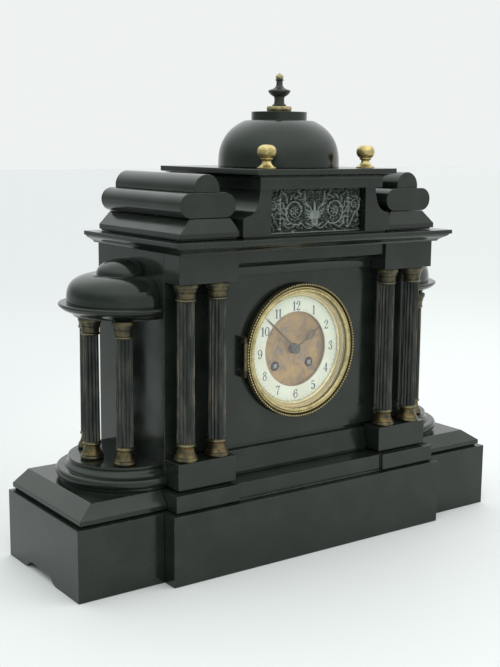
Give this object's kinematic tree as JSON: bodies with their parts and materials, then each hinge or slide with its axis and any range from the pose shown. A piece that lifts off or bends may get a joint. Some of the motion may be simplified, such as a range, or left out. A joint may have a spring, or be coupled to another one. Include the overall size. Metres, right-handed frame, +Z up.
{
  "type": "mantel clock",
  "caption": "Black slate mantel clock as a small temple: portico of fluted columns, half-round side turrets, dome, glazed dial with turning hands, and a pendulum movement behind.",
  "frame": {"origin": "under the middle of the object's box, on the shelf it stands on", "axes": "+Z up, +X along the base towards the right of the dial, +Y from the dial towards the back"},
  "size_m": [0.532, 0.185, 0.4904],
  "materials": {
    "slate": "polished black slate",
    "column_bronze": "dark patinated casting with rubbed gilding",
    "brass": "polished brass with age tone",
    "gilt": "gilt brass, patchy with age",
    "enamel": "white enamel",
    "steel": "polished steel",
    "hand_steel": "dark blued hands with brass shafts",
    "frieze": "dark patinated relief casting",
    "glass": "clear bevelled glass"
  },
  "bodies": {
    "root": {"base_centre_block": "slate", "plinth_step": "slate", "dial_sill": "slate", "architrave": "slate", "dial_panel": "slate", "back_panel": "slate", "cornice": "slate", "attic_block": "slate", "cap_slab": "slate", "dome": "slate", "dome_finial": "brass", "relief_panel": "frieze", "base_wing_left": "slate", "wing_slab_left": "slate", "pedestal_left": "slate", "impost_left": "slate", "side_panel_left": "slate", "turret_base_left": "slate", "turret_roof_left": "slate", "attic_plinth_left": "slate", "scroll_left": "slate", "ball_finial_left": "brass", "portico_column_left_outer": "column_bronze", "portico_column_left_inner": "column_bronze", "turret_column_left_front": "column_bronze", "turret_column_left_middle": "column_bronze", "turret_column_left_back": "column_bronze", "base_wing_right": "slate", "wing_slab_right": "slate", "pedestal_right": "slate", "impost_right": "slate", "side_panel_right": "slate", "turret_base_right": "slate", "turret_roof_right": "slate", "attic_plinth_right": "slate", "scroll_right": "slate", "ball_finial_right": "brass", "portico_column_right_outer": "column_bronze", "portico_column_right_inner": "column_bronze", "turret_column_right_front": "column_bronze", "turret_column_right_middle": "column_bronze", "turret_column_right_back": "column_bronze", "bezel_ring": "brass", "chapter_ring": "enamel", "dial_centre": "gilt", "movement_frame": "brass", "bell": "brass", "back_ring": "brass"},
    "minute_hand": {"minute_hand": "hand_steel"},
    "hour_hand": {"hour_hand": "hand_steel"},
    "bezel_door": {"bezel_door": "brass", "bezel_glass": "glass"},
    "back_door": {"back_door": "brass"},
    "pendulum": {"pendulum": "brass"},
    "anchor": {"anchor": "steel"},
    "escape_wheel": {"escape_wheel": "brass"},
    "going_barrel": {"going_barrel": "brass"},
    "strike_barrel": {"strike_barrel": "brass"},
    "strike_hammer": {"strike_hammer": "steel"},
    "regulator_arbor": {"regulator_arbor": "steel"}
  },
  "joints": [
    {"name": "minute_hand_turn", "type": "hinge", "parent": "root", "child": "minute_hand", "pos_m": [0, -0.04265, 0.209], "axis": [0, 1, 0], "continuous": true},
    {"name": "hour_hand_turn", "type": "hinge", "parent": "root", "child": "hour_hand", "pos_m": [0, -0.04125, 0.209], "axis": [0, 1, 0], "continuous": true},
    {"name": "bezel_door_hinge", "type": "hinge", "parent": "root", "child": "bezel_door", "pos_m": [-0.0721, -0.05205, 0.209], "axis": [0, 0, -1], "range_deg": [0, 95]},
    {"name": "back_door_hinge", "type": "hinge", "parent": "root", "child": "back_door", "pos_m": [-0.0646, 0.08975, 0.209], "axis": [0, 0, 1], "range_deg": [0, 110]},
    {"name": "pendulum_swing", "type": "hinge", "parent": "root", "child": "pendulum", "pos_m": [0, 0.02355, 0.252], "axis": [0, 1, 0], "range_deg": [-4, 4]},
    {"name": "anchor_rock", "type": "hinge", "parent": "root", "child": "anchor", "pos_m": [0, -0.00445, 0.252], "axis": [0, 1, 0], "range_deg": [-4, 4]},
    {"name": "escape_wheel_turn", "type": "hinge", "parent": "root", "child": "escape_wheel", "pos_m": [0, -0.00345, 0.236], "axis": [0, 1, 0], "continuous": true},
    {"name": "going_barrel_wind", "type": "hinge", "parent": "root", "child": "going_barrel", "pos_m": [0.0222, -0.00645, 0.192], "axis": [0, 1, 0], "continuous": true},
    {"name": "strike_barrel_wind", "type": "hinge", "parent": "root", "child": "strike_barrel", "pos_m": [-0.0222, -0.00645, 0.192], "axis": [0, 1, 0], "continuous": true},
    {"name": "strike_hammer_lift", "type": "hinge", "parent": "root", "child": "strike_hammer", "pos_m": [0.0133, 0.03555, 0.184], "axis": [0, 1, 0], "range_deg": [0, 12], "stiffness_Nm_per_rad": 0.01},
    {"name": "regulator_turn", "type": "hinge", "parent": "root", "child": "regulator_arbor", "pos_m": [0, -0.01445, 0.266], "axis": [0, 1, 0], "continuous": true}
  ],
  "couplings": [
    {"joint": "hour_hand_turn", "follows": "minute_hand_turn", "ratio": 0.083333},
    {"joint": "anchor_rock", "follows": "pendulum_swing", "ratio": 1}
  ]
}
